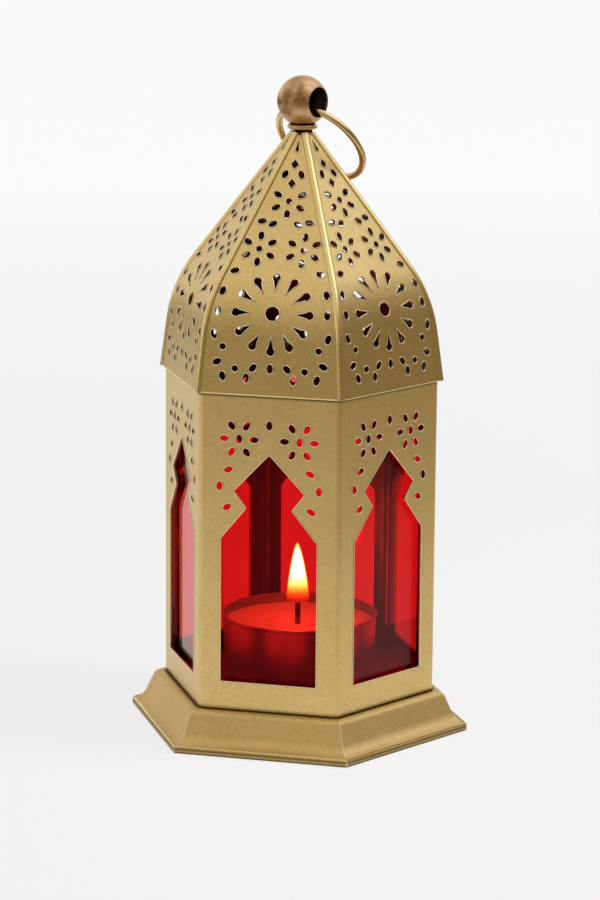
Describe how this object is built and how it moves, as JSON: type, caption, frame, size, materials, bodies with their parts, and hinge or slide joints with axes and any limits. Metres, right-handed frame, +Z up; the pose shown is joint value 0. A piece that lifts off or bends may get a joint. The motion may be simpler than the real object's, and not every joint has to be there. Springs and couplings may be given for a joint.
{
  "type": "fanous tealight lantern",
  "caption": "Hexagonal pierced-metal fanous lantern with red glass panes, a lift-off domed lid with a ball finial and swinging carrying ring, a flared base and a tealight inside.",
  "frame": {"origin": "on the floor under the middle of the base", "axes": "+Z up, the front wall faces -Y, corners of the hexagon on the X axis"},
  "size_m": [0.088, 0.0762, 0.1641],
  "materials": {
    "gold_sheet": "antique gold, satin, fine brushed grain",
    "inner_sheet": "unpolished sheet",
    "red_glass": "clear red glass",
    "aged_brass": "aged, matt",
    "ring_wire": "drawn wire, satin",
    "cup_aluminium": "thin pressed foil",
    "candle_wax": "paraffin wax, translucent",
    "wick_cotton": "charred cotton braid",
    "tinned_steel": "tinned"
  },
  "bodies": {
    "lantern_body": {"base_skirt": "gold_sheet", "candle_floor": "inner_sheet", "wall_front": "gold_sheet", "wall_front_right": "gold_sheet", "wall_back_right": "gold_sheet", "wall_back": "gold_sheet", "wall_back_left": "gold_sheet", "wall_front_left": "gold_sheet", "glass_front": "red_glass", "glass_front_right": "red_glass", "glass_back_right": "red_glass", "glass_back": "red_glass", "glass_back_left": "red_glass", "glass_front_left": "red_glass", "corner_strip_right_front": "inner_sheet", "corner_strip_right": "inner_sheet", "corner_strip_right_back": "inner_sheet", "corner_strip_left_back": "inner_sheet", "corner_strip_left": "inner_sheet", "corner_strip_left_front": "inner_sheet"},
    "dome_lid": {"dome_petal_front": "gold_sheet", "dome_petal_front_right": "gold_sheet", "dome_petal_back_right": "gold_sheet", "dome_petal_back": "gold_sheet", "dome_petal_back_left": "gold_sheet", "dome_petal_front_left": "gold_sheet", "dome_rib_right_front": "gold_sheet", "dome_rib_right": "gold_sheet", "dome_rib_right_back": "gold_sheet", "dome_rib_left_back": "gold_sheet", "dome_rib_left": "gold_sheet", "dome_rib_left_front": "gold_sheet", "seat_ring": "inner_sheet", "neck_collar": "aged_brass", "finial_ball": "aged_brass", "finial_stud": "inner_sheet"},
    "carry_ring": {"carrying_ring": "ring_wire"},
    "tealight": {"tealight_cup": "cup_aluminium", "wax": "candle_wax", "wick": "wick_cotton", "wick_sustainer": "tinned_steel"}
  },
  "joints": [
    {"name": "lid_lift", "type": "slide", "parent": "lantern_body", "child": "dome_lid", "axis": [0, 0, 1], "range_m": [0, 0.11]},
    {"name": "ring_swing", "type": "hinge", "parent": "dome_lid", "child": "carry_ring", "pos_m": [0, 0, 0.15626], "axis": [0.9063, -0.4226, 0], "range_deg": [0, 284]},
    {"name": "tealight_lift", "type": "slide", "parent": "lantern_body", "child": "tealight", "axis": [0, 0, 1], "range_m": [0, 0.085]}
  ]
}
